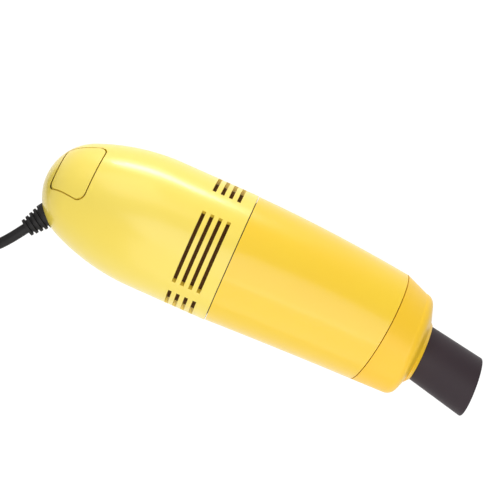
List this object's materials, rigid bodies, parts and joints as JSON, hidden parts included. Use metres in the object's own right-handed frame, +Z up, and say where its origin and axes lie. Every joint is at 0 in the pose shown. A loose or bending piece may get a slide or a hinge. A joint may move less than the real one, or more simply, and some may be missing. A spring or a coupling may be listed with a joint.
{
  "type": "desktop mini vacuum cleaner",
  "caption": "Hand-sized corded desk vacuum with a domed motor housing, push button, exhaust slots, pull-off dust cup, nose cap and angled nozzle, on a USB lead.",
  "frame": {"origin": "on the surface it lies on, under the middle of the body's length, on the plane of the motor's axis", "axes": "+X along the body from the lead's end to the nozzle, +Y across towards the side away from the strain relief, +Z up"},
  "size_m": [0.244, 0.0581, 0.044],
  "materials": {
    "yellow_plastic": "glossy moulded",
    "nozzle_plastic": "satin moulded",
    "cord_rubber": "matte",
    "tie_plastic": "satin",
    "screw_steel": "zinc plated",
    "plug_steel": "plated, satin",
    "tongue_plastic": "moulded",
    "contact_brass": "plated",
    "switch_plastic": "moulded",
    "plunger_plastic": "moulded",
    "spring_steel": "drawn wire",
    "board_laminate": "laminate",
    "frame_plastic": "moulded",
    "can_steel": "zinc plated, drawn",
    "magnet_ferrite": "sintered",
    "end_cap_plastic": "moulded",
    "bush_bronze": "sintered",
    "brush_carbon": "pressed",
    "shaft_steel": "ground",
    "armature_iron": "laminated stack",
    "commutator_copper": "turned",
    "impeller_plastic": "moulded",
    "seal_rubber": "matte",
    "filter_plastic": "moulded",
    "filter_fabric": "woven",
    "wire_red": "satin",
    "wire_black": "satin"
  },
  "bodies": {
    "housing": {"upper_shell": "yellow_plastic", "lower_shell": "yellow_plastic", "shell_screws": "screw_steel", "motor_screws": "screw_steel", "strain_relief": "cord_rubber", "cord_lead": "cord_rubber", "cord_coil": "cord_rubber", "cord_tail": "cord_rubber", "cord_tie": "tie_plastic", "plug_boot": "cord_rubber", "plug_shell": "plug_steel", "plug_tongue": "tongue_plastic", "plug_contacts": "contact_brass", "switch_body": "switch_plastic", "switch_spring": "spring_steel", "switch_board": "board_laminate", "motor_plate": "frame_plastic", "motor_can": "can_steel", "motor_magnets": "magnet_ferrite", "motor_end_cap": "end_cap_plastic", "front_bush": "bush_bronze", "rear_bush": "bush_bronze", "motor_brushes": "brush_carbon", "motor_terminals": "contact_brass", "bulkhead": "frame_plastic", "cup_seal": "seal_rubber", "wire_to_motor": "wire_red", "wire_to_switch": "wire_black", "wire_switch_to_motor": "wire_red"},
    "button": {"power_button": "yellow_plastic"},
    "plunger": {"switch_plunger": "plunger_plastic"},
    "rotor": {"armature": "armature_iron", "motor_shaft": "shaft_steel", "commutator": "commutator_copper", "impeller": "impeller_plastic"},
    "filter": {"filter_frame": "filter_plastic", "filter_cloth": "filter_fabric"},
    "cup": {"dust_cup": "yellow_plastic"},
    "nose": {"nose_cap": "yellow_plastic"},
    "nozzle": {"nozzle": "nozzle_plastic"}
  },
  "joints": [
    {"name": "button_press", "type": "slide", "parent": "housing", "child": "button", "axis": [0, -0.4384, -0.8988], "range_m": [0, 0.0008], "stiffness_N_per_m": 300, "springref_m": -0.003},
    {"name": "plunger_press", "type": "slide", "parent": "housing", "child": "plunger", "axis": [0, -0.4384, -0.8988], "range_m": [0, 0.0008], "stiffness_N_per_m": 150, "springref_m": -0.003, "deforming": ["switch_spring"]},
    {"name": "rotor_spin", "type": "hinge", "parent": "housing", "child": "rotor", "pos_m": [-0.04, 0, 0.022], "axis": [1, 0, 0], "continuous": true},
    {"name": "filter_pull", "type": "slide", "parent": "housing", "child": "filter", "axis": [1, 0, 0], "range_m": [0, 0.009]},
    {"name": "cup_pull", "type": "slide", "parent": "housing", "child": "cup", "axis": [1, 0, 0], "range_m": [0, 0.034]},
    {"name": "nose_pull", "type": "slide", "parent": "cup", "child": "nose", "axis": [0.9938, -0.087, -0.0697], "range_m": [0, 0.012]},
    {"name": "nozzle_pull", "type": "slide", "parent": "nose", "child": "nozzle", "axis": [0.9829, -0.184, 0], "range_m": [0, 0.012]}
  ],
  "couplings": [
    {"joint": "plunger_press", "follows": "button_press", "ratio": 1}
  ]
}
